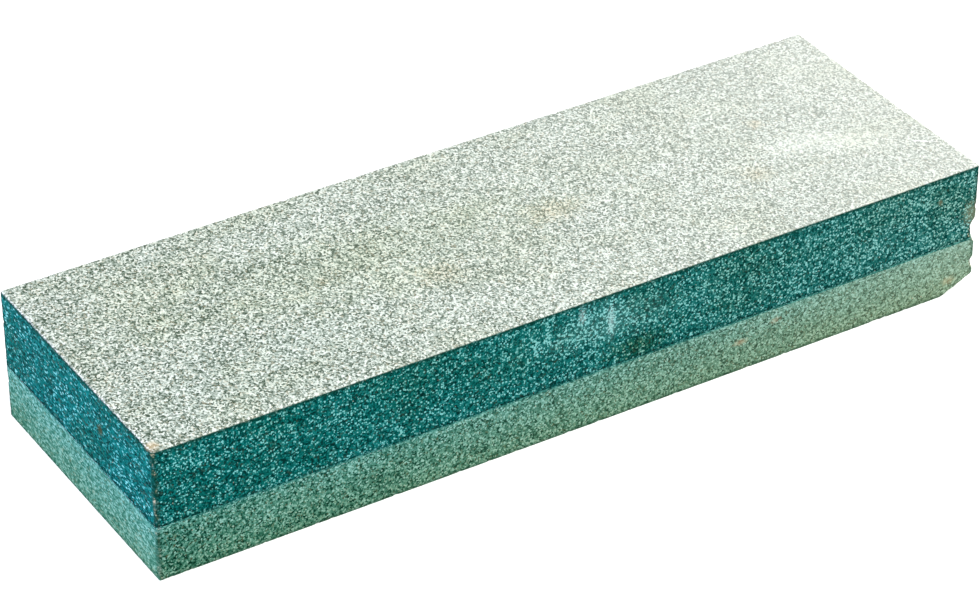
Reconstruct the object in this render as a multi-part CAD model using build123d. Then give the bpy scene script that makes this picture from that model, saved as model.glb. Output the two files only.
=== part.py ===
from build123d import *
import math
import os

# Combination sharpening whetstone: a coarse abrasive slab glued on a fine one, each usable as a
# working face. Millimetres, +X along the stone, +Z up, origin at the middle of the underside.

# Driving dimensions
length = 150.0
width = 50.5
height = 23.5
fine_thickness = 9.6  # lower slab
bond_thickness = 0.3  # glue line between the slabs
arris_radius = 0.4  # outer edges are rubbed round so that they don't cut the hand

# Spalls along the vertical arrises. side is the arris as signs of X and Y. z is the middle of the
# spall, depth its reach into the corner along the diagonal and reach half its height.
arris_spalls = [
    {"side": (1, -1), "z": 11.2, "depth": 1.5, "reach": 2.7},  # bruise across the glue line
    {"side": (1, -1), "z": 5.0, "depth": 0.9, "reach": 1.2},
    {"side": (-1, -1), "z": 22.9, "depth": 0.6, "reach": 0.8},  # tip of the top corner
    {"side": (-1, -1), "z": 19.6, "depth": 0.45, "reach": 0.9},
    {"side": (-1, -1), "z": 12.6, "depth": 0.4, "reach": 1.0},
    {"side": (-1, 1), "z": 7.0, "depth": 0.5, "reach": 1.1},
    {"side": (1, 1), "z": 17.5, "depth": 0.45, "reach": 0.9},
]

# Broken bottom corner at +X, -Y: how far the break runs along each of the three edges
break_along_length = 6.5
break_along_width = 3.4
break_up = 2.8

# Derived
coarse_thickness = height - fine_thickness - bond_thickness
bond_bottom = fine_thickness
coarse_bottom = fine_thickness + bond_thickness
outward = math.sqrt(0.5)  # each part of a unit step straight out of an arris


def slab(thickness, bottom):
    """A square-edged block of the stone's plan, standing on the given height."""
    block = Box(length, width, thickness, align=(Align.CENTER, Align.CENTER, Align.MIN))
    return Pos(0, 0, bottom) * block


def rub_round(block, working_face):
    """Rounds the four vertical arrises and those round one working face."""
    edges = block.edges().filter_by(Axis.Z) + working_face.edges()
    return fillet(edges, arris_radius)


def spall(side, z, depth, reach):
    """The ball that scoops a shell-shaped flake off a vertical arris."""
    radius = (reach**2 + depth**2) / (2 * depth)
    stand_off = radius - depth
    x = side[0] * (length / 2 + stand_off * outward)
    y = side[1] * (width / 2 + stand_off * outward)
    return Pos(x, y, z) * Sphere(radius)


def broken_corner():
    """The wedge that is missing from the bottom corner at +X, -Y."""
    corner_x = length / 2
    corner_y = -width / 2
    lines = Polyline(
        (corner_x - break_along_length, corner_y, 0),
        (corner_x, corner_y + break_along_width, 0),
        (corner_x, corner_y, break_up),
        close=True,
    )
    break_face = make_face(lines)
    return extrude(break_face, amount=break_along_length, dir=(1, -1, -1))


def chipped(block, flakes):
    """Takes the flakes off a block and keeps it as one solid."""
    for flake in flakes:
        block = block - flake
    return block.solid()


spalls = [spall(**each) for each in arris_spalls]

fine_slab = slab(fine_thickness, 0)
fine_stone = rub_round(fine_slab, fine_slab.faces().sort_by(Axis.Z)[0])
fine_stone = chipped(fine_stone, spalls + [broken_corner()])

coarse_slab = slab(coarse_thickness, coarse_bottom)
coarse_stone = rub_round(coarse_slab, coarse_slab.faces().sort_by(Axis.Z)[-1])
coarse_stone = chipped(coarse_stone, spalls)

# The glue is squeezed out and wiped flush, so the film has the stone's rounded plan
bond_slab = slab(bond_thickness, bond_bottom)
bond_layer = fillet(bond_slab.edges().filter_by(Axis.Z), arris_radius)
bond_layer = chipped(bond_layer, spalls)

nodes = {
    "fine_stone": fine_stone,
    "bond_layer": bond_layer,
    "coarse_stone": coarse_stone,
}

os.makedirs("parts", exist_ok=True)
for name, shape in nodes.items():
    export_step(shape, f"parts/{name}.step")
    print(f"{name}: {shape.volume / 1000:.2f} cm3")
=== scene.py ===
import bmesh
import bpy
import math
from mathutils import Matrix, Vector


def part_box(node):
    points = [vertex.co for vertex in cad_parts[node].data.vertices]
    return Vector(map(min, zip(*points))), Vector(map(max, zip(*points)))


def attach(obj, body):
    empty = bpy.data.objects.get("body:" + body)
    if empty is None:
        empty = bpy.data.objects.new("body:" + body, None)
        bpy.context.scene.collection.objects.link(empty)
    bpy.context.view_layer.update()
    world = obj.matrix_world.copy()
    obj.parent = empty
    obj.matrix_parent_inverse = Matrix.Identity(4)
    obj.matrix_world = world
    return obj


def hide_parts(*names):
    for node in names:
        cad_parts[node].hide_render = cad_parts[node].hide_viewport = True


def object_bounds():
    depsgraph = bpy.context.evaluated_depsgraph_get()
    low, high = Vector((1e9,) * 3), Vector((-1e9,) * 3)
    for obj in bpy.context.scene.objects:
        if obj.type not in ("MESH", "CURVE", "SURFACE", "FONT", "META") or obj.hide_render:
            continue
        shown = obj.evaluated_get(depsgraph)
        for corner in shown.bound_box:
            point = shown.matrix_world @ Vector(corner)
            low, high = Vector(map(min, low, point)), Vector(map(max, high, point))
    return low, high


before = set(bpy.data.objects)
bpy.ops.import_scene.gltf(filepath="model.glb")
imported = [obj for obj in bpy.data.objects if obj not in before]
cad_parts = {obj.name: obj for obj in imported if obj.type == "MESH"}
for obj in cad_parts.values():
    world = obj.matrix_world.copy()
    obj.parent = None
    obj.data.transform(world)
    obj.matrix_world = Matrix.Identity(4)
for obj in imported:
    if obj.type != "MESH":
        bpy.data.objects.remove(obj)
cadLow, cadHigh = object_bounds()
mm = 0.001  # lengths are written in millimetres and used in metres
print("frame loaded:", ", ".join(sorted(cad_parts)))


# small helpers for node trees
def socketOf(node, key):
    return next(s for s in node.inputs if s.enabled and key in (s.name, s.identifier))


def feed(tree, socket, value):
    if isinstance(value, bpy.types.NodeSocket):
        tree.links.new(value, socket)
    else:
        socket.default_value = value


def put(tree, kind, feeds=None, **settings):
    node = tree.nodes.new(kind)
    for name, value in settings.items():
        setattr(node, name, value)
    for key, value in (feeds or {}).items():
        feed(tree, socketOf(node, key), value)
    return node


def calc(tree, operation, *values, clamp=False):
    node = put(tree, "ShaderNodeMath", operation=operation, use_clamp=clamp)
    for socket, value in zip(node.inputs, values):
        feed(tree, socket, value)
    return node.outputs[0]


def times(tree, first, second):
    return calc(tree, "MULTIPLY", first, second)


def plus(tree, first, second):
    return calc(tree, "ADD", first, second)


def minus(tree, first, second):
    return calc(tree, "SUBTRACT", first, second)


def calcVector(tree, operation, *values):
    node = put(tree, "ShaderNodeVectorMath", operation=operation)
    for socket, value in zip(node.inputs, values):
        feed(tree, socket, value)
    return node.outputs["Value" if operation in ("LENGTH", "DOT_PRODUCT", "DISTANCE") else "Vector"]


def stretchVector(tree, vector, factor):
    feeds = {"Vector": vector, "Scale": factor}
    return put(tree, "ShaderNodeVectorMath", feeds, operation="SCALE").outputs[0]


def joinVector(tree, x=0.0, y=0.0, z=0.0):
    return put(tree, "ShaderNodeCombineXYZ", {"X": x, "Y": y, "Z": z}).outputs[0]


def splitVector(tree, vector):
    return put(tree, "ShaderNodeSeparateXYZ", {"Vector": vector}).outputs


def between(tree, factor, start, end):
    return put(tree, "ShaderNodeMix", {"Factor": factor, "A": start, "B": end}).outputs[0]


def betweenVectors(tree, factor, start, end):
    node = put(tree, "ShaderNodeMix", {"Factor": factor, "A": start, "B": end}, data_type="VECTOR")
    return node.outputs[1]


def remap(tree, value, low, high, toLow=0.0, toHigh=1.0, curve="SMOOTHSTEP"):
    feeds = {"Value": value, "From Min": low, "From Max": high, "To Min": toLow, "To Max": toHigh}
    return put(tree, "ShaderNodeMapRange", feeds, interpolation_type=curve).outputs["Result"]


def softNoise(tree, place, size, detail, roughness=0.5):
    return put(tree, "ShaderNodeTexNoise", {
        "Vector": place, "Scale": calc(tree, "DIVIDE", 1.0, size), "Detail": detail,
        "Roughness": roughness}).outputs[0]


def spreadNoise(tree, noise, low, high, curve="LINEAR"):
    # soft noise seldom leaves the middle half of its range
    return remap(tree, noise, 0.25, 0.75, low, high, curve)


def storeMark(tree, mesh, label, value, domain="POINT"):
    return put(tree, "GeometryNodeStoreNamedAttribute", {"Geometry": mesh, "Name": label, "Value": value},
               data_type="FLOAT", domain=domain).outputs[0]


def placeGroup(tree, group, feeds):
    kind = "GeometryNodeGroup" if tree.bl_idname == "GeometryNodeTree" else "ShaderNodeGroup"
    node = tree.nodes.new(kind)
    node.node_tree = group
    for key, value in feeds.items():
        feed(tree, node.inputs[key], value)
    return node


def newTree(name, kind, takes, gives):
    tree = bpy.data.node_groups.new(name, kind)
    for label, socketType, value in takes:
        socket = tree.interface.new_socket(label, in_out="INPUT", socket_type="NodeSocket" + socketType)
        if value is not None:
            socket.default_value = value
    for label, socketType in gives:
        tree.interface.new_socket(label, in_out="OUTPUT", socket_type="NodeSocket" + socketType)
    return tree, tree.nodes.new("NodeGroupInput").outputs, tree.nodes.new("NodeGroupOutput").inputs


# Damage shared by the slabs and the glue line. In flakes, side is the vertical arris as signs of
# X and Y, depth how far the flake eats into it and reach half the flake's height.
flakes = [
    {"side": (1, -1), "z": 11.2 * mm, "depth": 1.5 * mm, "reach": 2.7 * mm},
    {"side": (1, -1), "z": 5.0 * mm, "depth": 0.9 * mm, "reach": 1.2 * mm},
    {"side": (-1, -1), "z": 22.9 * mm, "depth": 0.6 * mm, "reach": 0.8 * mm},
    {"side": (-1, -1), "z": 19.6 * mm, "depth": 0.45 * mm, "reach": 0.9 * mm},
    {"side": (-1, -1), "z": 12.6 * mm, "depth": 0.4 * mm, "reach": 1.0 * mm},
    {"side": (-1, 1), "z": 7.0 * mm, "depth": 0.5 * mm, "reach": 1.1 * mm},
    {"side": (1, 1), "z": 17.5 * mm, "depth": 0.45 * mm, "reach": 0.9 * mm},
]
flakeLumps = 1.2 * mm
brokenCorner = {
    "side": (1, -1), "alongLength": 6.5 * mm, "alongWidth": 3.4 * mm, "up": 2.8 * mm,
    "roughness": 0.35 * mm, "lumps": 1.2 * mm,
}
hollow = {  # a pit in the -X end
    "y": -8.0 * mm, "z": 17.3 * mm, "radius": 1.0 * mm, "standOff": 0.62 * mm, "roughness": 0.2,
    "lumps": 0.6 * mm,
}


def flakeBall(side, z, depth, reach):
    radius = (reach ** 2 + depth ** 2) / (2 * depth)
    out = (radius - depth) * math.sqrt(0.5)
    corner = Vector((cadHigh.x * side[0], cadHigh.y * side[1], z))
    return corner + Vector((side[0] * out, side[1] * out, 0)), radius


def makeScoop():
    # pushes the surface out of a rough ball, as a struck flake leaves a shell-shaped hollow.
    # Slide is (1, 1, 0) for a flake that must not drag the joint up or down, or (1, 1, 1)
    tree, given, result = newTree(
        "scoop", "GeometryNodeTree",
        [("Position", "Vector", None), ("Broken", "Float", 0.0), ("Centre", "Vector", None),
         ("Radius", "Float", mm), ("Roughness", "Float", 0.1), ("Lump Size", "Float", mm),
         ("Slide", "Vector", None)],
        [("Position", "Vector"), ("Broken", "Float")])
    away = calcVector(tree, "SUBTRACT", given["Position"], given["Centre"])
    across = calcVector(tree, "MULTIPLY", away, given["Slide"])
    along = calcVector(tree, "SUBTRACT", away, across)
    lumps = softNoise(tree, given["Position"], given["Lump Size"], 2.0)
    shrink = times(tree, spreadNoise(tree, lumps, -1.0, 0.0), given["Roughness"])
    reach = times(tree, given["Radius"], plus(tree, shrink, 1.0))
    inside = calc(tree, "LESS_THAN", calcVector(tree, "LENGTH", away), reach)
    level = calc(tree, "POWER", calcVector(tree, "LENGTH", along), 2.0)
    ring = minus(tree, calc(tree, "POWER", reach, 2.0), level)
    ring = calc(tree, "SQRT", calc(tree, "MAXIMUM", ring, 0.0))
    skin = calcVector(tree, "ADD", calcVector(tree, "ADD", given["Centre"], along),
                      stretchVector(tree, calcVector(tree, "NORMALIZE", across), ring))
    feed(tree, result["Position"], betweenVectors(tree, inside, given["Position"], skin))
    feed(tree, result["Broken"], calc(tree, "MAXIMUM", inside, given["Broken"]))
    return tree


def makeCleave():
    # flattens what stands past a rough plane, as a corner breaks off
    tree, given, result = newTree(
        "cleave", "GeometryNodeTree",
        [("Position", "Vector", None), ("Broken", "Float", 0.0), ("Point", "Vector", None),
         ("Outward", "Vector", None), ("Roughness", "Float", 0.2 * mm), ("Lump Size", "Float", mm)],
        [("Position", "Vector"), ("Broken", "Float")])
    lumps = softNoise(tree, given["Position"], given["Lump Size"], 3.0)
    rough = times(tree, lumps, given["Roughness"])
    offset = calcVector(tree, "SUBTRACT", given["Position"], given["Point"])
    past = plus(tree, calcVector(tree, "DOT_PRODUCT", offset, given["Outward"]), rough)
    back = stretchVector(tree, given["Outward"], calc(tree, "MAXIMUM", past, 0.0))
    feed(tree, result["Position"], calcVector(tree, "SUBTRACT", given["Position"], back))
    struck = calc(tree, "GREATER_THAN", past, 0.0)
    feed(tree, result["Broken"], calc(tree, "MAXIMUM", struck, given["Broken"]))
    return tree


def makeJointWave():
    # how far the joint wanders up or down at a place on the plan; the same for both sides of it
    tree, given, result = newTree(
        "joint wave", "GeometryNodeTree",
        [("Position", "Vector", None), ("Seed", "Float", 0.0), ("Amount", "Float", 0.1 * mm),
         ("Wave Size", "Float", 4 * mm)],
        [("Rise", "Float")])
    plan = calcVector(tree, "MULTIPLY", given["Position"], (1.0, 1.0, 0.0))
    scaled = stretchVector(tree, plan, calc(tree, "DIVIDE", 1.0, given["Wave Size"]))
    noise = put(tree, "ShaderNodeTexNoise", {"Vector": scaled, "W": given["Seed"], "Scale": 1.0,
                                             "Detail": 4.0, "Roughness": 0.7}, noise_dimensions="4D")
    swing = spreadNoise(tree, noise.outputs[0], -1.0, 1.0)
    feed(tree, result["Rise"], times(tree, swing, given["Amount"]))
    return tree


scoop = makeScoop()
cleave = makeCleave()
jointWave = makeJointWave()
print("damage groups built")


def breakUp(tree, place, broken, damageRoughness):
    # one node for each flake, the broken corner and the hollow in the end face
    for flake in flakes:
        centre, radius = flakeBall(**flake)
        hit = placeGroup(tree, scoop, {"Position": place, "Broken": broken, "Centre": centre,
                                       "Radius": radius, "Roughness": damageRoughness,
                                       "Lump Size": flakeLumps, "Slide": (1.0, 1.0, 0.0)})
        place, broken = hit.outputs
    corner = Vector((cadHigh.x * brokenCorner["side"][0], cadHigh.y * brokenCorner["side"][1], cadLow.z))
    outward = Vector((brokenCorner["side"][0] / brokenCorner["alongLength"],
                      brokenCorner["side"][1] / brokenCorner["alongWidth"],
                      -1 / brokenCorner["up"])).normalized()
    onBreak = corner + Vector((-brokenCorner["side"][0] * brokenCorner["alongLength"], 0, 0))
    hit = placeGroup(tree, cleave, {
        "Position": place, "Broken": broken, "Point": onBreak, "Outward": outward,
        "Roughness": brokenCorner["roughness"], "Lump Size": brokenCorner["lumps"]})
    place, broken = hit.outputs
    centre = Vector((cadLow.x - hollow["standOff"], hollow["y"], hollow["z"]))
    hit = placeGroup(tree, scoop, {
        "Position": place, "Broken": broken, "Centre": centre, "Radius": hollow["radius"],
        "Roughness": hollow["roughness"], "Lump Size": hollow["lumps"], "Slide": (1.0, 1.0, 1.0)})
    return hit.outputs


# How a slab wears. Lengths are distances from an arris, from the joint or from the battered corner.
wear = {
    "arrisStart": 1.4 * mm, "arrisFull": 0.1 * mm,
    "faceStart": 0.45, "faceFull": 0.85,  # how upright the skin is where side turns into worked face
    "reliefDetail": 2.0, "reliefRoughness": 0.6, "jointCalm": 0.7 * mm,
    "biteRim": 0.62, "biteFloor": 0.1,  # in cells from a bite's middle
    "whole": 0.72, "wholeAtCorner": 0.27,  # share of the cells along an arris that keep their edge
    "cornerStart": 1.6 * mm, "cornerFull": 0.4 * mm,
    "rubbed": 0.15,  # the part of the wear that is even; bites are the rest
    "shownAway": 0.25,  # how fresh a bite looks away from the battered corner
    "hiddenSlope": 0.5,
}


def makeSlabTree():
    # the rule for a slab: a block crowded with points at its edges, rounded, grained and damaged
    tree, given, result = newTree(
        "stone slab", "GeometryNodeTree",
        [("Length", "Float", 0.15), ("Width", "Float", 0.05), ("Bottom", "Float", 0.0),
         ("Top", "Float", 0.01), ("Columns", "Int", 100), ("Rows", "Int", 40), ("Layers", "Int", 10),
         ("Crowding", "Float", 0.6), ("Arris Radius", "Float", 0.4 * mm), ("Round Below", "Float", 0.0),
         ("Round Above", "Float", 0.0), ("Face Side", "Float", 1.0), ("Face Gap", "Float", 0.0),
         ("Side Relief", "Float", 0.05 * mm), ("Face Relief", "Float", 0.01 * mm),
         ("Grain Size", "Float", 0.4 * mm), ("Crumble", "Float", 0.2 * mm),
         ("Crumble Size", "Float", 1.1 * mm), ("Battered", "Float", 1.0),
         ("Damage Roughness", "Float", 0.12), ("Wave Below", "Float", 0.0), ("Wave Above", "Float", 0.0),
         ("Seed Below", "Float", 0.0), ("Seed Above", "Float", 0.0), ("Wave Fade", "Float", 1.5 * mm),
         ("Hide Below", "Float", 0.0), ("Hide Above", "Float", 0.0), ("Material", "Material", None)],
        [("Geometry", "Geometry")])

    cells = [plus(tree, given[label], 1.0) for label in ("Columns", "Rows", "Layers")]
    block = put(tree, "GeometryNodeMeshCube", {"Size": (2.0, 2.0, 2.0), "Vertices X": cells[0],
                                               "Vertices Y": cells[1], "Vertices Z": cells[2]})
    unit = put(tree, "GeometryNodeInputPosition").outputs[0]
    quarter = stretchVector(tree, unit, math.pi / 2)
    crowded = betweenVectors(tree, given["Crowding"], unit, calcVector(tree, "SINE", quarter))
    thickness = minus(tree, given["Top"], given["Bottom"])
    halfSize = stretchVector(tree, joinVector(tree, given["Length"], given["Width"], thickness), 0.5)
    middle = times(tree, plus(tree, given["Top"], given["Bottom"]), 0.5)
    square = calcVector(tree, "MULTIPLY_ADD", crowded, halfSize, joinVector(tree, z=middle))
    sized = put(tree, "GeometryNodeSetPosition", {"Geometry": block.outputs[0], "Position": square})

    # rounding: points keep the arris radius from an inner block
    place = put(tree, "GeometryNodeInputPosition").outputs[0]
    radius = given["Arris Radius"]
    halfLength = times(tree, given["Length"], 0.5)
    halfWidth = times(tree, given["Width"], 0.5)
    halfX = minus(tree, halfLength, radius)
    halfY = minus(tree, halfWidth, radius)
    lowZ = calc(tree, "MULTIPLY_ADD", given["Round Below"], radius, given["Bottom"])
    highZ = minus(tree, given["Top"], times(tree, given["Round Above"], radius))
    low = joinVector(tree, times(tree, halfX, -1.0), times(tree, halfY, -1.0), lowZ)
    high = joinVector(tree, halfX, halfY, highZ)
    core = calcVector(tree, "MINIMUM", calcVector(tree, "MAXIMUM", place, low), high)
    outward = calcVector(tree, "NORMALIZE", calcVector(tree, "SUBTRACT", place, core))

    # distance to the nearest outer arris is the middle one of the three distances to the faces
    fromMiddle = splitVector(tree, calcVector(tree, "ABSOLUTE", place))
    height = splitVector(tree, place)[2]
    fromX = minus(tree, halfLength, fromMiddle[0])
    fromY = minus(tree, halfWidth, fromMiddle[1])
    fromTop = minus(tree, given["Top"], height)
    fromBottom = minus(tree, height, given["Bottom"])
    faceAbove = calc(tree, "GREATER_THAN", given["Face Side"], 0.0)
    fromFace = plus(tree, between(tree, faceAbove, fromBottom, fromTop), given["Face Gap"])
    nearest = calc(tree, "MINIMUM", calc(tree, "MINIMUM", fromX, fromY), fromFace)
    farthest = calc(tree, "MAXIMUM", calc(tree, "MAXIMUM", fromX, fromY), fromFace)
    total = plus(tree, plus(tree, fromX, fromY), fromFace)
    fromArris = minus(tree, minus(tree, total, nearest), farthest)
    arris = remap(tree, fromArris, wear["arrisStart"], wear["arrisFull"])
    upright = times(tree, splitVector(tree, outward)[2], given["Face Side"])
    worked = remap(tree, upright, wear["faceStart"], wear["faceFull"])

    # grain relief and crumbled arrises, always inwards so that the slab stays in its envelope
    grain = softNoise(tree, place, given["Grain Size"], wear["reliefDetail"], wear["reliefRoughness"])
    relief = between(tree, worked, given["Side Relief"], given["Face Relief"])
    jointGap = between(tree, faceAbove, fromTop, fromBottom)
    relief = times(tree, remap(tree, jointGap, 0.0, wear["jointCalm"]), relief)
    sunk = times(tree, spreadNoise(tree, grain, 0.0, 1.0, "SMOOTHSTEP"), relief)
    bites = put(tree, "ShaderNodeTexVoronoi", {
        "Vector": place, "Scale": calc(tree, "DIVIDE", 1.0, given["Crumble Size"]), "Randomness": 1.0},
        feature="F1")
    lot = splitVector(tree, bites.outputs["Color"])[0]
    corner = joinVector(tree, times(tree, given["Length"], -0.5), times(tree, given["Width"], -0.5))
    plan = calcVector(tree, "MULTIPLY", place, (1.0, 1.0, 0.0))
    batter = remap(tree, calcVector(tree, "DISTANCE", plan, corner), wear["cornerStart"], wear["cornerFull"])
    luck = calc(tree, "MULTIPLY_ADD", times(tree, batter, given["Battered"]),
                wear["wholeAtCorner"] - wear["whole"], wear["whole"])
    chosen = calc(tree, "GREATER_THAN", lot, luck)
    bowl = remap(tree, bites.outputs["Distance"], wear["biteRim"], wear["biteFloor"])
    bite = times(tree, times(tree, bowl, chosen), arris)
    worn = calc(tree, "MULTIPLY_ADD", arris, wear["rubbed"], times(tree, bite, 1.0 - wear["rubbed"]))
    depth = plus(tree, sunk, times(tree, worn, given["Crumble"]))
    shell = calcVector(tree, "ADD", core, stretchVector(tree, outward, minus(tree, radius, depth)))

    # both sides of a joint wander together
    rises = []
    for side, fromJoint in (("Below", fromBottom), ("Above", fromTop)):
        wave = placeGroup(tree, jointWave, {"Position": place, "Seed": given["Seed " + side],
                                            "Amount": given["Wave " + side]}).outputs[0]
        fade = remap(tree, calc(tree, "DIVIDE", fromJoint, given["Wave Fade"]), 0.0, 1.0, 1.0, 0.0, "LINEAR")
        rises.append(times(tree, wave, fade))
    waved = calcVector(tree, "ADD", shell, joinVector(tree, z=plus(tree, *rises)))

    fresh = calc(tree, "MULTIPLY_ADD", batter, 1.0 - wear["shownAway"], wear["shownAway"])
    final, broken = breakUp(tree, waved, times(tree, bite, fresh), given["Damage Roughness"])
    facing = splitVector(tree, put(tree, "GeometryNodeInputNormal").outputs[0])[2]
    down = calc(tree, "LESS_THAN", facing, -wear["hiddenSlope"])
    up = calc(tree, "GREATER_THAN", facing, wear["hiddenSlope"])
    hidden = plus(tree, times(tree, down, given["Hide Below"]), times(tree, up, given["Hide Above"]))

    # the marks are read before the points move, so they are stored first and the move comes last
    mesh = storeMark(tree, sized.outputs[0], "hidden", hidden, "FACE")
    marks = {"fromArris": fromArris, "worked": worked, "broken": broken, "fromJoint": jointGap}
    for label, value in marks.items():
        mesh = storeMark(tree, mesh, label, value)
    moved = put(tree, "GeometryNodeSetPosition", {"Geometry": mesh, "Position": final})
    real = put(tree, "GeometryNodeRealizeInstances", {"Geometry": moved.outputs[0]})
    painted = put(tree, "GeometryNodeSetMaterial", {
        "Geometry": real.outputs[0], "Material": given["Material"]})
    feed(tree, result["Geometry"], painted.outputs[0])
    return tree


slabTree = makeSlabTree()


def runTree(name, tree, values, startMesh=None):
    # evaluates a tree once and keeps the result as a plain mesh
    holder = bpy.data.objects.new(name, startMesh or bpy.data.meshes.new(name))
    bpy.context.scene.collection.objects.link(holder)
    modifier = holder.modifiers.new(name, "NODES")
    modifier.node_group = tree
    for item in tree.interface.items_tree:
        if item.in_out == "INPUT" and item.name in values:
            modifier[item.identifier] = values[item.name]
    holder.update_tag()
    graph = bpy.context.evaluated_depsgraph_get()
    mesh = bpy.data.meshes.new_from_object(holder.evaluated_get(graph), depsgraph=graph)
    holder.modifiers.remove(modifier)
    holder.data = mesh
    mesh.name = name
    return holder


def closeHidden(piece):
    # the cells inside a joint are never seen, so each such face becomes a single one
    mesh = bmesh.new()
    mesh.from_mesh(piece.data)
    hidden = mesh.faces.layers.float["hidden"]
    bmesh.ops.delete(mesh, geom=[f for f in mesh.faces if f[hidden] > 0.5], context="FACES")
    rim = [e for e in mesh.edges if e.is_boundary]
    for edge in rim:
        edge.smooth = False
    bmesh.ops.edgeloop_fill(mesh, edges=rim)
    bmesh.ops.recalc_face_normals(mesh, faces=mesh.faces)
    mesh.faces.layers.float.remove(hidden)
    mesh.to_mesh(piece.data)
    mesh.free()
    piece.data.shade_smooth()
    print(piece.name, len(piece.data.vertices), "points")


# The shape of the single grains: a rough lump, stretched by lot, most of them small.
lump = {"squash": (0.6, 0.6, 0.6), "stretch": (1.15, 1.15, 1.15), "fewLarge": 2.5, "sideSlope": 0.5}


def drawLots(tree, seed, step, low=None, high=None):
    # a number from 0 to 1 for each grain, or a vector when two limits are given
    feeds = {"Seed": plus(tree, seed, step)}
    if high is None:
        return put(tree, "FunctionNodeRandomValue", feeds, data_type="FLOAT").outputs[1]
    feeds["Min"], feeds["Max"] = low, high
    return put(tree, "FunctionNodeRandomValue", feeds, data_type="FLOAT_VECTOR").outputs["Value"]


def makeGritTree():
    # single grains set in a slab's skin, held inside the stone's own box
    tree, given, result = newTree(
        "set grit", "GeometryNodeTree",
        [("Slab", "Geometry", None), ("Apart", "Float", 1.0 * mm), ("Per Square Metre", "Float", 5e5),
         ("Smallest", "Float", 0.1 * mm), ("Largest", "Float", 0.25 * mm), ("Face Side", "Float", 1.0),
         ("Face Share", "Float", 0.0), ("Low Corner", "Vector", None), ("High Corner", "Vector", None),
         ("Seed", "Int", 1), ("Material", "Material", None)],
        [("Geometry", "Geometry")])
    normal = put(tree, "GeometryNodeInputNormal").outputs[0]
    upright = times(tree, splitVector(tree, normal)[2], given["Face Side"])
    onSide = calc(tree, "LESS_THAN", calc(tree, "ABSOLUTE", upright), lump["sideSlope"])
    onFace = calc(tree, "GREATER_THAN", upright, lump["sideSlope"])
    share = plus(tree, onSide, times(tree, onFace, given["Face Share"]))
    points = put(tree, "GeometryNodeDistributePointsOnFaces", {
        "Mesh": given["Slab"], "Distance Min": given["Apart"], "Density Max": given["Per Square Metre"],
        "Density Factor": share, "Seed": given["Seed"]}, distribute_method="POISSON")
    grain = put(tree, "GeometryNodeMeshIcoSphere", {"Radius": 1.0, "Subdivisions": 1})
    turn = drawLots(tree, given["Seed"], 1, (0.0, 0.0, 0.0), (math.tau, math.tau, math.tau))
    lot = drawLots(tree, given["Seed"], 2)
    span = minus(tree, given["Largest"], given["Smallest"])
    size = calc(tree, "MULTIPLY_ADD", calc(tree, "POWER", lot, lump["fewLarge"]), span, given["Smallest"])
    squash = drawLots(tree, given["Seed"], 3, lump["squash"], lump["stretch"])
    grains = put(tree, "GeometryNodeInstanceOnPoints", {
        "Points": points.outputs["Points"], "Instance": grain.outputs[0],
        "Rotation": put(tree, "FunctionNodeEulerToRotation", {"Euler": turn}).outputs[0],
        "Scale": stretchVector(tree, squash, size)})
    toned = storeMark(tree, grains.outputs[0], "tone", drawLots(tree, given["Seed"], 4), "INSTANCE")
    real = put(tree, "GeometryNodeRealizeInstances", {"Geometry": toned})
    place = put(tree, "GeometryNodeInputPosition").outputs[0]
    held = calcVector(tree, "MAXIMUM", place, given["Low Corner"])
    held = calcVector(tree, "MINIMUM", held, given["High Corner"])
    flush = put(tree, "GeometryNodeSetPosition", {"Geometry": real.outputs[0], "Position": held})
    painted = put(tree, "GeometryNodeSetMaterial", {
        "Geometry": flush.outputs[0], "Material": given["Material"]})
    feed(tree, result["Geometry"], painted.outputs[0])
    return tree


gritTree = makeGritTree()
print("geometry trees built")


def colour(red, green, blue):
    # 8-bit screen values to the linear ones that sockets take
    def linear(value):
        value /= 255
        return value / 12.92 if value <= 0.04045 else ((value + 0.055) / 1.055) ** 2.4
    return (linear(red), linear(green), linear(blue), 1.0)


# How the grains pack. Dust is this much denser than the grains. The crown lifts a grain's tone inside
# the level and lowers it outside, and the gaps lie deeper by the gap depth.
packing = {"dustDensity": 1.25, "dustDetail": 2.0, "level": 0.45, "gapDepth": 0.6}


def makeGrainGroup():
    # packed angular grains, each with a tone of its own, with finer dust over and between them
    tree, given, result = newTree(
        "packed grain", "ShaderNodeTree",
        [("Vector", "Vector", None), ("Grain Size", "Float", 0.4 * mm), ("Cells", "Float", 1.0),
         ("Fines", "Float", 0.8), ("Crown", "Float", 0.2)],
        [("Tone", "Float"), ("Height", "Float"), ("Lot", "Float")])
    scale = calc(tree, "DIVIDE", 1.0, given["Grain Size"])
    grains = put(tree, "ShaderNodeTexVoronoi", {"Vector": given["Vector"], "Scale": scale}, feature="F1")
    lot = put(tree, "ShaderNodeSeparateColor", {"Color": grains.outputs["Color"]})
    dust = put(tree, "ShaderNodeTexNoise", {
        "Vector": given["Vector"], "Scale": times(tree, scale, packing["dustDensity"]),
        "Detail": packing["dustDetail"]})
    cell = times(tree, minus(tree, lot.outputs[0], 0.5), given["Cells"])
    fines = times(tree, minus(tree, dust.outputs[0], 0.5), given["Fines"])
    crown = minus(tree, packing["level"], grains.outputs["Distance"])
    crown = times(tree, crown, given["Crown"])
    tone = calc(tree, "ADD", plus(tree, cell, fines), plus(tree, crown, 0.5), clamp=True)
    feed(tree, result["Tone"], tone)
    height = calc(tree, "MULTIPLY_ADD", grains.outputs["Distance"], -packing["gapDepth"], tone)
    feed(tree, result["Height"], height)
    feed(tree, result["Lot"], lot.outputs[1])
    return tree


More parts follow.
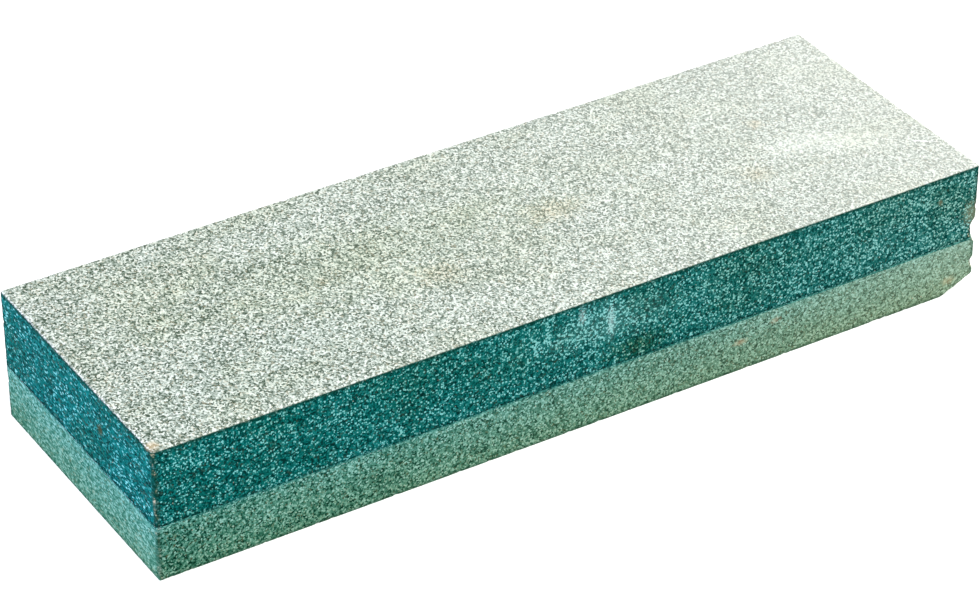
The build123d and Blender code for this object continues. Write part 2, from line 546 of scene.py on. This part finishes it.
def makeBlotGroup():
    # a ragged patch round a place, full in its middle and 0 outside
    tree, given, result = newTree(
        "ragged blot", "ShaderNodeTree",
        [("Vector", "Vector", None), ("Centre", "Vector", None), ("Spread", "Vector", None),
         ("Turn", "Vector", None), ("Ragged", "Float", 0.5), ("Fray Size", "Float", 1.0 * mm),
         ("Strength", "Float", 1.0)],
        [("Mask", "Float")])
    offset = calcVector(tree, "SUBTRACT", given["Vector"], given["Centre"])
    turned = put(tree, "ShaderNodeVectorRotate", {"Vector": offset, "Rotation": given["Turn"]},
                 rotation_type="EULER_XYZ", invert=True)
    offset = calcVector(tree, "DIVIDE", turned.outputs[0], given["Spread"])
    fray = softNoise(tree, given["Vector"], given["Fray Size"], 3.0, 0.65)
    frayed = times(tree, minus(tree, fray, 0.5), given["Ragged"])
    reach = plus(tree, calcVector(tree, "LENGTH", offset), frayed)
    rim, full = 1.0, 0.2
    feed(tree, result["Mask"], times(tree, remap(tree, reach, rim, full), given["Strength"]))
    return tree


def makeCloudGroup():
    # slow drift of shade across a face, about 0
    tree, given, result = newTree(
        "cloudy shade", "ShaderNodeTree",
        [("Vector", "Vector", None), ("Stretch", "Vector", None), ("Patch Size", "Float", 15 * mm),
         ("Amount", "Float", 0.1)],
        [("Shade", "Float")])
    place = calcVector(tree, "DIVIDE", given["Vector"], given["Stretch"])
    shade = spreadNoise(tree, softNoise(tree, place, given["Patch Size"], 4.0, 0.55), -1.0, 1.0)
    feed(tree, result["Shade"], times(tree, shade, given["Amount"]))
    return tree


grainGroup = makeGrainGroup()
blotGroup = makeBlotGroup()
cloudGroup = makeCloudGroup()
print("shader groups built")


def ramp(tree, value, stops):
    node = put(tree, "ShaderNodeValToRGB", {"Fac": value})
    marks = node.color_ramp.elements
    marks[0].position, marks[0].color = stops[0][0], colour(*stops[0][1])
    marks[1].position, marks[1].color = stops[-1][0], colour(*stops[-1][1])
    for position, tint in stops[1:-1]:
        marks.new(position).color = colour(*tint)
    return node.outputs["Color"]


def blend(tree, factor, under, over, way="MIX"):
    node = put(tree, "ShaderNodeMix", {"Factor": factor, "A": under, "B": over}, data_type="RGBA",
               blend_type=way, clamp_result=True)
    return node.outputs[2]


def readMark(tree, label):
    node = put(tree, "ShaderNodeAttribute", attribute_name=label, attribute_type="GEOMETRY")
    return node.outputs["Fac"]


def placeBlot(tree, spot, mark, strength):
    return placeGroup(tree, blotGroup, {
        "Vector": spot, "Centre": Vector(mark["at"]) * mm, "Spread": Vector(mark["spread"]) * mm,
        "Turn": [math.radians(angle) for angle in mark.get("turn", (0, 0, 0))],
        "Ragged": mark.get("ragged", 0.8), "Fray Size": mark.get("fray", 1.2) * mm,
        "Strength": strength}).outputs[0]


def makeGrain(tree, place, look):
    return placeGroup(tree, grainGroup, {
        "Vector": place, "Grain Size": look["grain"], "Cells": look["cells"], "Fines": look["fines"],
        "Crown": look["crown"]}).outputs


# Where the skin changes. Lengths are distances from the stone's ends or arrises.
skinRule = {
    "endStart": 0.4 * mm, "endFull": 0.15 * mm, "stainShift": (0.05, 0.02, 0.03),
    "stainStart": -0.3, "stainFull": 0.7, "warmSpread": 0.1, "dustAndSheenAlong": 2.0,
    "shadeStart": 1.0 * mm, "shadeFull": 0.4 * mm, "rimStart": 0.9 * mm, "rimFull": 0.3 * mm,
}


def makeSkin(tree, place, spot, look, grain, lifts):
    # the colour of the sides or of the worked face, with painted light growing towards the +X end, before
    # dirt and damage
    cloud = placeGroup(tree, cloudGroup, {
        "Vector": place, "Stretch": look["streaks"], "Patch Size": look["patch"],
        "Amount": look["drift"]}).outputs[0]
    fromMiddle = splitVector(tree, spot)[0]
    along = remap(tree, fromMiddle, cadLow.x, cadHigh.x, 0.0, 1.0, "LINEAR")
    # painted light: the tone rises towards the +X end, as if lit more strongly there
    tone = plus(tree, grain["Tone"], calc(tree, "MULTIPLY_ADD", along, look["paintedLightRise"], cloud))
    for lift in lifts:
        tone = plus(tree, tone, placeBlot(tree, spot, lift, lift["lift"]))
    if "endCalm" in look:
        # the end faces are more even in tone than the long sides
        calm = remap(tree, calc(tree, "ABSOLUTE", fromMiddle), cadHigh.x - skinRule["endStart"],
                     cadHigh.x - skinRule["endFull"], 0.0, look["endCalm"])
        tone = calc(tree, "MULTIPLY_ADD", minus(tree, look["endTone"], tone), calm, tone)
    tone = calc(tree, "MAXIMUM", tone, 0.0)
    skin = ramp(tree, tone, look["tones"])
    stain = placeGroup(tree, cloudGroup, {
        "Vector": calcVector(tree, "ADD", place, skinRule["stainShift"]), "Stretch": look["streaks"],
        "Patch Size": look["stainPatch"], "Amount": 1.0}).outputs[0]
    stain = remap(tree, stain, skinRule["stainStart"], skinRule["stainFull"], 0.0, look["stain"])
    skin = blend(tree, stain, skin, colour(*look["stainTint"]), "MULTIPLY")
    warmFull = look["warmFrom"] + skinRule["warmSpread"]
    warm = remap(tree, grain["Lot"], look["warmFrom"], warmFull, 0.0, look["warm"])
    skin = blend(tree, warm, skin, colour(*look["warmTint"]))
    # dust and painted sheen: a pale veil on the brighter grains that grows towards the +X end, partly dust
    # and partly painted sheen from the light on that end
    dustAndSheen = times(tree, calc(tree, "POWER", tone, look["dustAndSheenGrains"]), look["dust"])
    dustAndSheen = times(tree, calc(tree, "POWER", along, skinRule["dustAndSheenAlong"]), dustAndSheen)
    return blend(tree, dustAndSheen, skin, colour(*look["dustAndSheenTint"]))


def newMaterial(name):
    material = bpy.data.materials.new(name)
    material.use_nodes = True
    material.node_tree.nodes.clear()
    return material, material.node_tree


def makeStone(name, look):
    material, tree = newMaterial(name)
    spot = put(tree, "ShaderNodeTexCoord").outputs["Object"]
    place, sawn = [put(tree, "ShaderNodeMapping", {
        "Vector": spot, "Location": look["shift"], "Scale": look[way]}).outputs[0]
        for way in ("pressed", "sawn")]
    worked, broken = readMark(tree, "worked"), readMark(tree, "broken")
    fromArris, fromJoint = readMark(tree, "fromArris"), readMark(tree, "fromJoint")
    side, face = makeGrain(tree, sawn, look["side"]), makeGrain(tree, place, look["face"])
    sideSkin = makeSkin(tree, place, spot, look["side"], side, look["sideLifts"])
    faceSkin = makeSkin(tree, place, spot, look["face"], face, look["faceLifts"])

    # shade under the arris, drift of colour from the joint and a pale rim on the worked face
    shade = remap(tree, fromArris, skinRule["shadeStart"], skinRule["shadeFull"], 0.0, look["arrisShade"])
    sideSkin = blend(tree, shade, sideSkin, colour(*look["arrisDark"]))
    if "awayTint" in look:
        away = remap(tree, fromJoint, 0.0, look["awayEnd"], 0.0, 1.0, "LINEAR")
        sideSkin = blend(tree, away, sideSkin, colour(*look["awayTint"]), "MULTIPLY")
    byJoint = remap(tree, fromJoint, look["jointReach"], 0.0, 0.0, look["jointShow"])
    sideSkin = blend(tree, byJoint, sideSkin, colour(*look["jointTint"]), look["jointWay"])
    rim = remap(tree, fromArris, skinRule["rimStart"], skinRule["rimFull"], 0.0, look["rimPale"])
    faceSkin = blend(tree, rim, faceSkin, colour(*look["rimTint"]), "SCREEN")
    base = blend(tree, worked, sideSkin, faceSkin)
    fresh = ramp(tree, side["Tone"], look["brokenTones"])
    base = blend(tree, times(tree, broken, look["brokenShow"]), base, fresh)
    for mark in look["marks"]:
        mask = placeBlot(tree, spot, mark, mark["strength"])
        base = blend(tree, mask, base, colour(*mark["tint"]), mark.get("way", "MIX"))

    height = between(tree, worked, side["Height"], face["Height"])
    strength = between(tree, worked, look["side"]["bump"], look["face"]["bump"])
    bump = put(tree, "ShaderNodeBump", {
        "Strength": strength, "Distance": look["bumpDepth"], "Height": height})
    dull = between(tree, worked, look["side"]["roughness"], look["face"]["roughness"])
    rough = calc(tree, "MULTIPLY_ADD", side["Lot"], -look["glitter"], dull)
    shader = put(tree, "ShaderNodeBsdfPrincipled", {
        "Base Color": base, "Roughness": rough, "Normal": bump.outputs[0], "IOR": look["ior"],
        "Specular IOR Level": look["gloss"]})
    put(tree, "ShaderNodeOutputMaterial", {"Surface": shader.outputs[0]})
    return material


def makeGrit(name, look):
    # single grains, each of one tone
    material, tree = newMaterial(name)
    place = put(tree, "ShaderNodeTexCoord").outputs["Object"]
    tone = readMark(tree, "tone")
    fleck = placeGroup(tree, grainGroup, {"Vector": place, "Grain Size": look["fleckSize"]}).outputs
    base = ramp(tree, calc(tree, "MULTIPLY_ADD", fleck["Tone"], look["fleckShow"], tone), look["tones"])
    rough = remap(tree, fleck["Lot"], 0.0, 1.0, look["roughness"][0], look["roughness"][1])
    shader = put(tree, "ShaderNodeBsdfPrincipled", {
        "Base Color": base, "Roughness": rough, "IOR": look["ior"], "Specular IOR Level": look["gloss"]})
    put(tree, "ShaderNodeOutputMaterial", {"Surface": shader.outputs[0]})
    return material


def makeGlue(name, look):
    material, tree = newMaterial(name)
    place = put(tree, "ShaderNodeTexCoord").outputs["Object"]
    grain = makeGrain(tree, place, look)
    cloud = placeGroup(tree, cloudGroup, {
        "Vector": place, "Stretch": (1.0, 1.0, 1.0), "Patch Size": look["patch"],
        "Amount": look["drift"]}).outputs[0]
    base = ramp(tree, plus(tree, grain["Tone"], cloud), look["tones"])
    bump = put(tree, "ShaderNodeBump", {
        "Strength": look["bump"], "Distance": look["bumpDepth"], "Height": grain["Height"]})
    shader = put(tree, "ShaderNodeBsdfPrincipled", {
        "Base Color": base, "Roughness": look["roughness"], "Normal": bump.outputs[0],
        "Specular IOR Level": look["gloss"]})
    put(tree, "ShaderNodeOutputMaterial", {"Surface": shader.outputs[0]})
    return material


# The two stones and the glue between them share one joint that wanders a little.
joint = {"wave": 0.11 * mm, "upperSeed": 3.0, "lowerSeed": 8.0, "fade": 1.5 * mm}
stoneArris = 0.4 * mm


def slabValues(slab, material, bottom, top, side, waves):
    return {
        "Length": cadHigh.x - cadLow.x, "Width": cadHigh.y - cadLow.y, "Bottom": bottom, "Top": top,
        "Columns": slab["columns"], "Rows": slab["rows"], "Layers": slab["layers"],
        "Crowding": slab["crowding"], "Arris Radius": stoneArris, "Face Side": side,
        "Round Below": float(side < 0), "Round Above": float(side > 0), "Hide Below": float(side > 0),
        "Hide Above": float(side < 0), "Side Relief": slab["sideRelief"], "Face Relief": slab["faceRelief"],
        "Grain Size": slab["reliefGrain"], "Crumble": slab["crumble"], "Crumble Size": slab["crumbleSize"],
        "Battered": slab["battered"], "Wave Fade": joint["fade"], "Material": material, **waves}


def gritValues(grit, material, side):
    return {
        "Apart": grit["apart"], "Per Square Metre": grit["density"], "Smallest": grit["smallest"],
        "Largest": grit["largest"], "Face Side": side, "Face Share": grit["faceShare"],
        "Low Corner": cadLow, "High Corner": cadHigh, "Seed": grit["seed"], "Material": material}


# marks and lifts of tone on the long side that is seen first and on the two worked faces
sideAt, topAt, baseAt = -25.25, 23.5, 0


def onSide(x, z, long, high, deep=2, **rest):
    return {"at": (x, sideAt, z), "spread": (long, deep, high), **rest}


def onTop(x, y, long, wide, deep=2, **rest):
    return {"at": (x, y, topAt), "spread": (long, wide, deep), **rest}


def onBase(x, y, long, wide, deep=2, **rest):
    return {"at": (x, y, baseAt), "spread": (long, wide, deep), **rest}


# Colours are 8-bit; places and spreads of marks and lifts are in mm, turns in degrees.
coarse = {
    "node": "coarse_stone", "slot": "coarse_grit",
    "columns": 360, "rows": 130, "layers": 46, "crowding": 0.6,
    "sideRelief": 0.07 * mm, "faceRelief": 0.02 * mm, "reliefGrain": 0.42 * mm,
    "crumble": 0.28 * mm, "crumbleSize": 1.0 * mm, "battered": 1.0,
    "shift": (0.0, 0.0, 0.0), "pressed": (1.0, 0.8, 1.0), "sawn": (1.0, 0.55, 1.0),
    "side": {
        "grain": 0.3 * mm, "cells": 1.15, "fines": 0.85, "crown": 0.6, "bump": 0.4, "roughness": 0.75,
        "streaks": (1.6, 1.0, 1.0), "patch": 7 * mm, "drift": 0.06, "paintedLightRise": 0.1,
        "stainPatch": 9 * mm, "stain": 0.5, "stainTint": (240, 226, 206), "dust": 0.16, "dustAndSheenGrains": 2.5,
        "dustAndSheenTint": (176, 176, 150), "warmFrom": 0.86, "warm": 0.16, "warmTint": (92, 104, 76),
        "endCalm": 0.07, "endTone": 0.6,
        "tones": [(0.0, (0, 40, 37)), (0.2, (0, 65, 61)), (0.4, (0, 86, 81)), (0.6, (3, 98, 93)),
                  (0.8, (13, 109, 105)), (0.92, (46, 130, 126)), (1.0, (116, 190, 186))],
    },
    "face": {
        "grain": 0.26 * mm, "cells": 1.15, "fines": 0.8, "crown": -0.3, "bump": 0.2, "roughness": 0.9,
        "streaks": (2.2, 1.0, 1.0), "patch": 6 * mm, "drift": 0.05, "paintedLightRise": 0.12,
        "stainPatch": 9 * mm, "stain": 0.4, "stainTint": (244, 244, 226), "dust": 0.42, "dustAndSheenGrains": 0.0,
        "dustAndSheenTint": (221, 223, 215), "warmFrom": 0.84, "warm": 0.3, "warmTint": (206, 192, 160),
        "tones": [(0.0, (66, 84, 68)), (0.2, (105, 121, 106)), (0.4, (143, 158, 145)),
                  (0.6, (174, 188, 175)), (0.8, (206, 218, 205)), (1.0, (234, 242, 232))],
    },
    "brokenTones": [(0.0, (8, 38, 30)), (0.4, (48, 84, 64)), (0.65, (112, 118, 88)),
                    (1.0, (214, 194, 158))],
    "brokenShow": 0.7,
    "arrisShade": 0.75, "arrisDark": (4, 52, 42), "rimPale": 0.2, "rimTint": (150, 155, 142),
    "jointReach": 0.8 * mm, "jointShow": 0.7, "jointTint": (120, 150, 145), "jointWay": "MULTIPLY",
    "bumpDepth": 0.08 * mm, "glitter": 0.3, "ior": 1.5, "gloss": 0.01,
    "sideLifts": [
        onSide(-68, 20.4, 7, 2.4, lift=0.1, fray=2.0),
        onSide(-54, 19.4, 6, 1.8, lift=0.08, fray=2.0),
        onSide(-44, 18.4, 4, 2.2, lift=0.09, fray=1.5),
        onSide(-27, 16, 28, 11, lift=-0.02, fray=3.0),
        onSide(33, 16, 22, 11, lift=-0.04, fray=3.0),
        onSide(-9, 19, 6, 3.6, lift=0.2, fray=1.4),
        onSide(-1, 20.6, 1.6, 2.6, lift=0.22, fray=0.6, ragged=2.0),
        onSide(4.3, 18.6, 1.8, 3.8, lift=0.24, fray=0.6, ragged=2.0),
        onSide(2, 18, 11, 5, lift=0.17, fray=1.4),
        onSide(12.5, 17, 5, 4, lift=0.06, fray=2.0),
        onSide(9, 12, 6.5, 2.6, lift=-0.06, fray=1.5),
        onSide(-46, 12.6, 14, 2.4, lift=-0.06, fray=3.0),
    ],
    "faceLifts": [
        onTop(58, -6.5, 15, 4.6, turn=(0, 0, -22), lift=0.3, fray=1.6),
        onTop(68, 14, 11, 12, lift=0.07, fray=2.0),
        onTop(-25, -1.5, 20, 1.4, lift=0.07, fray=1.0),
        onTop(-35, 17, 16, 4, lift=0.06, fray=1.6),
        onTop(-28, 5.5, 36, 8, lift=-0.05, fray=2.5, ragged=1.4),
        onTop(-5, -10, 22, 5, lift=-0.03, fray=2.0, ragged=1.4),
        onTop(22, 0.5, 26, 1.0, turn=(0, 0, 2), lift=0.04, fray=1.0),
    ],
    "marks": [
        onTop(-26, 4, 48, 14, tint=(247, 249, 240), strength=0.65, fray=3, ragged=1.6, way="MULTIPLY"),
        onTop(-50, -14, 34, 12, tint=(244, 249, 250), strength=0.35, fray=3, ragged=1.4, way="MULTIPLY"),
        onTop(-74, -23.6, 1.4, 1.6, tint=(234, 208, 164), strength=0.45, deep=1.0),
        onTop(9.5, -0.5, 7, 4.4, tint=(252, 241, 228), strength=0.6, fray=0.6, ragged=2.6,
              way="MULTIPLY"),
        onTop(-15, -6.5, 5, 4, tint=(250, 240, 228), strength=0.6, fray=0.6, ragged=2.6, way="MULTIPLY"),
        onTop(43, -8.5, 4, 3, tint=(246, 236, 222), strength=0.6, fray=0.6, ragged=2.6, way="MULTIPLY"),
        onTop(51.5, 4.5, 2, 2, tint=(244, 230, 214), strength=0.5, fray=0.6, ragged=1.4, way="MULTIPLY"),
        onTop(-31.5, 1, 2, 1.6, tint=(246, 234, 218), strength=0.5, fray=0.6, ragged=1.4, way="MULTIPLY"),
        onTop(71.7, -14.5, 3.0, 0.3, turn=(0, 0, -35), tint=(250, 252, 248), strength=0.6, fray=0.5),
        onSide(4.3, 18.6, 0.9, 3.2, tint=(196, 216, 214), strength=0.25, fray=0.35, ragged=3.0),
        onSide(-1, 21, 0.8, 2.0, tint=(196, 216, 214), strength=0.25, fray=0.35, ragged=3.0),
        onSide(3, 18.5, 14, 5, tint=(196, 210, 202), strength=0.03, fray=2, ragged=1.6),
        onSide(67.4, 18.8, 0.7, 0.8, tint=(140, 130, 96), strength=0.35, fray=0.4, ragged=1.4),
        onSide(9, 12, 7.5, 3.2, tint=(236, 192, 146), strength=0.65, fray=0.8, ragged=1.8,
               way="MULTIPLY"),
        onSide(74.2, 14.6, 2.8, 3.4, tint=(140, 140, 108), strength=0.4, fray=0.4, ragged=2.6),
        # painted shade: a dark patch filling the hollow in the -X end
        {"at": (-75, -8, 17.3), "spread": (2.0, 1.3, 1.2), "tint": (52, 66, 48), "strength": 1.0,
         "fray": 0.5},
    ],
}
coarseLow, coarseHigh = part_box(coarse["node"])
coarsePiece = runTree("coarse_slab", slabTree, slabValues(
    coarse, makeStone("coarse grit stone", coarse), coarseLow.z, coarseHigh.z, 1.0,
    {"Wave Below": joint["wave"], "Seed Below": joint["upperSeed"]}))
closeHidden(coarsePiece)


coarseGrains = {
    "seed": 11, "apart": 0.8 * mm, "density": 5e5, "smallest": 0.06 * mm, "largest": 0.14 * mm,
    "faceShare": 0.0, "fleckSize": 0.1 * mm, "fleckShow": 0.12, "roughness": (0.25, 0.55), "ior": 1.6,
    "gloss": 0.3,
    "tones": [(0.0, (0, 80, 76)), (0.5, (10, 112, 106)), (0.8, (56, 150, 142)), (0.95, (150, 206, 198)),
              (0.985, (176, 156, 124)), (1.0, (130, 104, 80))],
}
coarseGrit = runTree("coarse_grains", gritTree, gritValues(
    coarseGrains, makeGrit("coarse grit grain", coarseGrains), 1.0), coarsePiece.data.copy())
print("coarse_grains:", len(coarseGrit.data.polygons), "faces")


fine = {
    "node": "fine_stone", "slot": "fine_grit",
    "columns": 360, "rows": 130, "layers": 36, "crowding": 0.6,
    "sideRelief": 0.04 * mm, "faceRelief": 0.012 * mm, "reliefGrain": 0.3 * mm,
    "crumble": 0.22 * mm, "crumbleSize": 0.8 * mm, "battered": 0.8,
    "shift": (0.031, 0.017, 0.0), "pressed": (1.0, 0.8, 1.0), "sawn": (1.0, 0.55, 1.0),
    "side": {
        "grain": 0.28 * mm, "cells": 1.1, "fines": 0.8, "crown": 0.3, "bump": 0.3, "roughness": 0.8,
        "streaks": (2.0, 1.0, 1.0), "patch": 6 * mm, "drift": 0.04, "paintedLightRise": 0.07,
        "stainPatch": 6 * mm, "stain": 0.3, "stainTint": (245, 236, 220), "dust": 0.38, "dustAndSheenGrains": 0.35,
        "dustAndSheenTint": (174, 184, 160), "warmFrom": 0.84, "warm": 0.25, "warmTint": (124, 134, 102),
        "endCalm": 0.34, "endTone": 0.68,
        "tones": [(0.0, (2, 46, 34)), (0.2, (26, 86, 70)), (0.4, (56, 114, 98)), (0.6, (74, 132, 117)),
                  (0.8, (94, 151, 137)), (1.0, (136, 188, 177))],
    },
    "face": {
        "grain": 0.26 * mm, "cells": 0.8, "fines": 0.8, "crown": 0.2, "bump": 0.15, "roughness": 0.88,
        "streaks": (2.2, 1.0, 1.0), "patch": 10 * mm, "drift": 0.06, "paintedLightRise": 0.05,
        "stainPatch": 9 * mm, "stain": 0.4, "stainTint": (244, 240, 224), "dust": 0.1, "dustAndSheenGrains": 0.0,
        "dustAndSheenTint": (210, 212, 204), "warmFrom": 0.84, "warm": 0.25, "warmTint": (196, 184, 156),
        "tones": [(0.0, (80, 102, 86)), (0.25, (122, 142, 126)), (0.5, (156, 174, 158)),
                  (0.75, (184, 198, 184)), (1.0, (224, 234, 222))],
    },
    "brokenTones": [(0.0, (40, 70, 56)), (0.5, (104, 130, 108)), (1.0, (214, 206, 180))],
    "brokenShow": 0.45,
    "arrisShade": 0.5, "arrisDark": (20, 62, 46), "rimPale": 0.25, "rimTint": (150, 155, 148),
    "awayEnd": 9 * mm, "awayTint": (253, 238, 218),
    "jointReach": 0.9 * mm, "jointShow": 0.5, "jointTint": (20, 60, 60), "jointWay": "SCREEN",
    "bumpDepth": 0.05 * mm, "glitter": 0.2, "ior": 1.5, "gloss": 0.015,
    "sideLifts": [
        onSide(-73, 4.5, 10, 9, lift=-0.06, fray=2.0),
        onSide(-50, 2.5, 16, 2.4, lift=-0.05, fray=2.0),
    ],
    "faceLifts": [
        onBase(-20, 3, 40, 9, lift=0.14, fray=4.0),
        onBase(40, -6, 20, 4, lift=0.12, turn=(0, 0, 10), fray=3.0),
    ],
    "marks": [
        onSide(28.8, 5.6, 1.8, 0.8, tint=(196, 160, 124), strength=0.3, fray=0.4, ragged=1.8, deep=1),
        onSide(35.5, 7.4, 1.4, 0.8, tint=(196, 164, 132), strength=0.25, fray=0.4, ragged=1.8, deep=1),
        {"at": (70, -24.5, 3), "spread": (2.2, 2, 1.2), "tint": (190, 172, 128), "strength": 0.35,
         "fray": 0.6},
    ],
}
fineLow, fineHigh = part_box(fine["node"])
finePiece = runTree("fine_slab", slabTree, slabValues(
    fine, makeStone("fine grit stone", fine), fineLow.z, fineHigh.z, -1.0,
    {"Wave Above": joint["wave"], "Seed Above": joint["lowerSeed"]}))
closeHidden(finePiece)


fineGrains = {
    "seed": 23, "apart": 1.2 * mm, "density": 2.5e5, "smallest": 0.05 * mm, "largest": 0.12 * mm,
    "faceShare": 0.0, "fleckSize": 0.1 * mm, "fleckShow": 0.12, "roughness": (0.3, 0.6), "ior": 1.6,
    "gloss": 0.3,
    "tones": [(0.0, (50, 104, 84)), (0.5, (104, 152, 132)), (0.85, (160, 194, 176)), (0.95, (214, 228, 216)),
              (1.0, (196, 170, 144))],
}
fineGrit = runTree("fine_grains", gritTree, gritValues(
    fineGrains, makeGrit("fine grit grain", fineGrains), -1.0), finePiece.data.copy())
print("fine_grains:", len(fineGrit.data.polygons), "faces")


glue = {
    "node": "bond_layer", "slot": "glue",
    "columns": 360, "rows": 130, "layers": 4, "crowding": 0.6,
    "sideRelief": 0.0, "faceRelief": 0.0, "reliefGrain": 0.3 * mm,
    "crumble": 0.25 * mm, "crumbleSize": 1.0 * mm, "battered": 0.9,
    "grain": 0.3 * mm, "cells": 0.8, "fines": 0.8, "crown": 0.2,
    "patch": 8 * mm, "drift": 0.15, "bump": 0.3, "bumpDepth": 0.05 * mm, "roughness": 0.75, "gloss": 0.1,
    "tones": [(0.0, (0, 52, 45)), (0.4, (30, 102, 91)), (0.7, (66, 132, 120)), (1.0, (116, 172, 160))],
}
glueLow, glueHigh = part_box(glue["node"])
glueSetting = slabValues(glue, makeGlue("stone glue", glue), glueLow.z, glueHigh.z, 1.0, {
    "Wave Below": joint["wave"], "Seed Below": joint["lowerSeed"],
    "Wave Above": joint["wave"], "Seed Above": joint["upperSeed"]})
# the glue has no face of its own, so it wears only at its upright arrises
glueSetting.update({
    "Round Above": 0.0, "Hide Above": 1.0, "Wave Fade": glueHigh.z - glueLow.z, "Face Gap": 1.0})
gluePiece = runTree("glue_line", slabTree, glueSetting)
closeHidden(gluePiece)


def setOnStone(piece, node=None):
    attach(piece, "root")
    if node:
        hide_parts(node)


setOnStone(coarsePiece, coarse["node"])
setOnStone(coarseGrit)
setOnStone(finePiece, fine["node"])
setOnStone(fineGrit)
setOnStone(gluePiece, glue["node"])
print("pieces set on the stone's body")


def makeFloor(halfSide, tint, glow, roughness):
    mesh = bpy.data.meshes.new("floor")
    corners = [(-halfSide, -halfSide, 0), (halfSide, -halfSide, 0), (halfSide, halfSide, 0),
               (-halfSide, halfSide, 0)]
    mesh.from_pydata(corners, [], [(0, 1, 2, 3)])
    floor = bpy.data.objects.new("floor", mesh)
    bpy.context.scene.collection.objects.link(floor)
    material = bpy.data.materials.new("pale floor")
    material.use_nodes = True
    shader = material.node_tree.nodes["Principled BSDF"]
    shader.inputs["Base Color"].default_value = (tint, tint, tint, 1.0)
    shader.inputs["Roughness"].default_value = roughness
    shader.inputs["Emission Color"].default_value = (1.0, 1.0, 1.0, 1.0)
    shader.inputs["Emission Strength"].default_value = glow
    mesh.materials.append(material)


def addSoftLight(name, at, aim, side, watts, tint):
    data = bpy.data.lights.new(name, "AREA")
    data.shape, data.size, data.energy, data.color = "DISK", side, watts, tint
    light = bpy.data.objects.new(name, data)
    light.location = at
    light.rotation_euler = (Vector(aim) - Vector(at)).to_track_quat("-Z", "Y").to_euler()
    bpy.context.scene.collection.objects.link(light)


studio = {
    "floorHalf": 3.0, "floorTint": 0.75, "floorGlow": 0.62, "floorRoughness": 0.9,
    "sky": (1.0, 1.0, 1.0), "skyStrength": 0.48,
    "lights": [
        {"name": "key", "at": (0.5, -0.3, 0.75), "aim": (0.03, 0, 0.01), "side": 0.6, "watts": 8.0,
         "tint": (1.0, 0.99, 0.97)},
        {"name": "left_fill", "at": (-0.8, -0.06, 0.16), "aim": (-0.07, 0, 0.01), "side": 0.4, "watts": 8.2,
         "tint": (0.68, 0.67, 1.0)},
    ],
}
makeFloor(studio["floorHalf"], studio["floorTint"], studio["floorGlow"], studio["floorRoughness"])
for light in studio["lights"]:
    addSoftLight(**light)
world = bpy.data.worlds.new("studio")
world.use_nodes = True
world.node_tree.nodes["Background"].inputs["Color"].default_value = (*studio["sky"], 1.0)
world.node_tree.nodes["Background"].inputs["Strength"].default_value = studio["skyStrength"]
bpy.context.scene.world = world
bpy.context.scene.view_settings.view_transform = "Standard"
print("floor and lights set")

viewpoint = {
    "azimuth": -31.353, "elevation": 33.636, "roll": -0.361,  # degrees
    "aim": Vector((-2.47, -0.50, 9.18)) * mm, "distance": 626.3 * mm, "lens": 144.875, "sensor": 36.0,
    "clip": (0.01, 20),
}


def placeCamera(shot):
    azimuth, elevation = math.radians(shot["azimuth"]), math.radians(shot["elevation"])
    back = Vector((math.sin(azimuth) * math.cos(elevation), -math.cos(azimuth) * math.cos(elevation),
                   math.sin(elevation)))
    data = bpy.data.cameras.new("camera")
    data.lens, data.sensor_width = shot["lens"], shot["sensor"]
    data.clip_start, data.clip_end = shot["clip"]
    camera = bpy.data.objects.new("camera", data)
    turn = (-back).to_track_quat("-Z", "Y").to_matrix()
    turn = turn @ Matrix.Rotation(math.radians(shot["roll"]), 3, "Z")
    camera.matrix_world = Matrix.LocRotScale(shot["aim"] + back * shot["distance"], turn, None)
    bpy.context.scene.collection.objects.link(camera)
    bpy.context.scene.camera = camera


placeCamera(viewpoint)
print("camera set")
